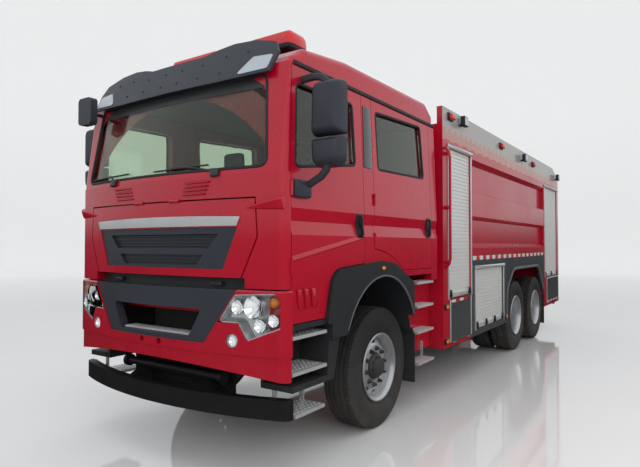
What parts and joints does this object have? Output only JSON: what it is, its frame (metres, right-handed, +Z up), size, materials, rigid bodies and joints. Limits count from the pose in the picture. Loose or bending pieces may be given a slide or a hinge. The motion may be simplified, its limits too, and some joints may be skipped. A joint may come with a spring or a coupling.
{
  "type": "fire truck",
  "caption": "Red crew-cab fire truck on a three-axle road chassis, with a ribbed water tank, aluminium roller shutters, a roof monitor and a light bar.",
  "frame": {"origin": "middle of the footprint, on the ground under the tyres", "axes": "+Y along the truck to its rear, +X to its left, +Z up; the front faces -Y"},
  "size_m": [3.12, 9.87, 3.6],
  "materials": {
    "red_paint": "gloss",
    "black_paint": "satin",
    "dark_grey_paint": "satin",
    "black_plastic": "matte",
    "aluminium": "satin",
    "cast_iron": "matte",
    "wheel_silver": "satin",
    "tyre_rubber": "matte",
    "rubber": "matte",
    "clear_glass": "gloss",
    "lamp_lens": "gloss",
    "red_lens": "gloss",
    "grey_plastic": "matte",
    "seat_fabric": "matte"
  },
  "bodies": {
    "chassis": {"frame_rails": "black_paint", "cross_members": "black_paint", "front_axle": "cast_iron", "rear_bogie": "cast_iron", "engine_block": "cast_iron", "front_bumper": "red_paint", "bumper_insert": "black_plastic", "front_lamps": "lamp_lens", "underrun_guard": "black_paint", "mudguards": "black_plastic", "steps": "aluminium", "cab_floor": "red_paint", "cab_roof": "red_paint", "cab_rear_wall": "red_paint", "cab_front": "red_paint", "windscreen": "clear_glass", "dashboard": "grey_plastic", "seats": "seat_fabric", "sun_visor": "black_plastic", "light_bar": "red_lens", "front_mirror": "black_plastic", "water_tank": "red_paint", "front_locker": "red_paint", "rear_locker": "red_paint", "side_skirts": "dark_grey_paint", "shutters": "aluminium", "body_lamps": "red_lens"},
    "door_front_left": {"door_front_left": "red_paint", "glass_front_left": "clear_glass", "mirror_left": "black_plastic"},
    "door_rear_left": {"door_rear_left": "red_paint", "glass_rear_left": "clear_glass"},
    "flap_front_left": {"flap_front_left": "dark_grey_paint"},
    "flap_rear_left": {"flap_rear_left": "dark_grey_paint"},
    "knuckle_left": {"knuckle_left": "cast_iron"},
    "wheel_front_left": {"tyre_front_left": "tyre_rubber", "rim_front_left": "wheel_silver"},
    "wheel_axle2_left": {"tyres_axle2_left": "tyre_rubber", "rims_axle2_left": "wheel_silver"},
    "wheel_axle3_left": {"tyres_axle3_left": "tyre_rubber", "rims_axle3_left": "wheel_silver"},
    "door_front_right": {"door_front_right": "red_paint", "glass_front_right": "clear_glass", "mirror_right": "black_plastic"},
    "door_rear_right": {"door_rear_right": "red_paint", "glass_rear_right": "clear_glass"},
    "flap_front_right": {"flap_front_right": "dark_grey_paint"},
    "flap_rear_right": {"flap_rear_right": "dark_grey_paint"},
    "knuckle_right": {"knuckle_right": "cast_iron"},
    "wheel_front_right": {"tyre_front_right": "tyre_rubber", "rim_front_right": "wheel_silver"},
    "wheel_axle2_right": {"tyres_axle2_right": "tyre_rubber", "rims_axle2_right": "wheel_silver"},
    "wheel_axle3_right": {"tyres_axle3_right": "tyre_rubber", "rims_axle3_right": "wheel_silver"},
    "front_flap": {"front_flap": "red_paint", "upper_grille": "black_plastic"},
    "tie_rod": {"tie_rod": "cast_iron"},
    "monitor_swivel": {"monitor_swivel": "red_paint"},
    "monitor_barrel": {"monitor_barrel": "red_paint"}
  },
  "joints": [
    {"name": "door_front_left_hinge", "type": "hinge", "parent": "chassis", "child": "door_front_left", "pos_m": [1.24, -4.688, 1.7], "axis": [0, 0, -1], "range_deg": [0, 70]},
    {"name": "door_rear_left_hinge", "type": "hinge", "parent": "chassis", "child": "door_rear_left", "pos_m": [1.24, -3.452, 2], "axis": [0, 0, -1], "range_deg": [0, 70]},
    {"name": "flap_front_left_hinge", "type": "hinge", "parent": "chassis", "child": "flap_front_left", "pos_m": [1.25, -1.255, 0.553], "axis": [0, 1, 0], "range_deg": [0, 90]},
    {"name": "flap_rear_left_hinge", "type": "hinge", "parent": "chassis", "child": "flap_rear_left", "pos_m": [1.25, 4.24, 0.543], "axis": [0, 1, 0], "range_deg": [0, 90]},
    {"name": "steer_left", "type": "hinge", "parent": "chassis", "child": "knuckle_left", "pos_m": [0.87, -3.205, 0.565], "axis": [0, 0, 1], "range_deg": [-35, 35]},
    {"name": "wheel_front_left_spin", "type": "hinge", "parent": "knuckle_left", "child": "wheel_front_left", "pos_m": [1.012, -3.205, 0.565], "axis": [1, 0, 0], "continuous": true},
    {"name": "wheel_axle2_left_spin", "type": "hinge", "parent": "chassis", "child": "wheel_axle2_left", "pos_m": [0.915, 1.395, 0.565], "axis": [1, 0, 0], "continuous": true},
    {"name": "wheel_axle3_left_spin", "type": "hinge", "parent": "chassis", "child": "wheel_axle3_left", "pos_m": [0.915, 2.745, 0.565], "axis": [1, 0, 0], "continuous": true},
    {"name": "door_front_right_hinge", "type": "hinge", "parent": "chassis", "child": "door_front_right", "pos_m": [-1.24, -4.688, 1.7], "axis": [0, 0, 1], "range_deg": [0, 70]},
    {"name": "door_rear_right_hinge", "type": "hinge", "parent": "chassis", "child": "door_rear_right", "pos_m": [-1.24, -3.452, 2], "axis": [0, 0, 1], "range_deg": [0, 70]},
    {"name": "flap_front_right_hinge", "type": "hinge", "parent": "chassis", "child": "flap_front_right", "pos_m": [-1.25, -1.255, 0.553], "axis": [0, -1, 0], "range_deg": [0, 90]},
    {"name": "flap_rear_right_hinge", "type": "hinge", "parent": "chassis", "child": "flap_rear_right", "pos_m": [-1.25, 4.24, 0.543], "axis": [0, -1, 0], "range_deg": [0, 90]},
    {"name": "steer_right", "type": "hinge", "parent": "chassis", "child": "knuckle_right", "pos_m": [-0.87, -3.205, 0.565], "axis": [0, 0, 1], "range_deg": [-35, 35]},
    {"name": "wheel_front_right_spin", "type": "hinge", "parent": "knuckle_right", "child": "wheel_front_right", "pos_m": [-1.012, -3.205, 0.565], "axis": [1, 0, 0], "continuous": true},
    {"name": "wheel_axle2_right_spin", "type": "hinge", "parent": "chassis", "child": "wheel_axle2_right", "pos_m": [-0.915, 1.395, 0.565], "axis": [1, 0, 0], "continuous": true},
    {"name": "wheel_axle3_right_spin", "type": "hinge", "parent": "chassis", "child": "wheel_axle3_right", "pos_m": [-0.915, 2.745, 0.565], "axis": [1, 0, 0], "continuous": true},
    {"name": "tie_rod_swivel", "type": "hinge", "parent": "knuckle_left", "child": "tie_rod", "pos_m": [0.87, -3.055, 0.45], "axis": [0, 0, 1], "range_deg": [-35, 35]},
    {"name": "front_flap_hinge", "type": "hinge", "parent": "chassis", "child": "front_flap", "pos_m": [0, -4.88, 2.061], "axis": [-1, 0, 0], "range_deg": [0, 75]},
    {"name": "monitor_yaw", "type": "hinge", "parent": "chassis", "child": "monitor_swivel", "pos_m": [0, -1.363, 3.24], "axis": [0, 0, 1], "range_deg": [-170, 170]},
    {"name": "monitor_pitch", "type": "hinge", "parent": "monitor_swivel", "child": "monitor_barrel", "pos_m": [0, -1.363, 3.41], "axis": [-1, 0, 0], "range_deg": [-5, 70]}
  ],
  "couplings": [
    {"joint": "steer_right", "follows": "steer_left", "ratio": 1},
    {"joint": "tie_rod_swivel", "follows": "steer_left", "ratio": -1}
  ]
}
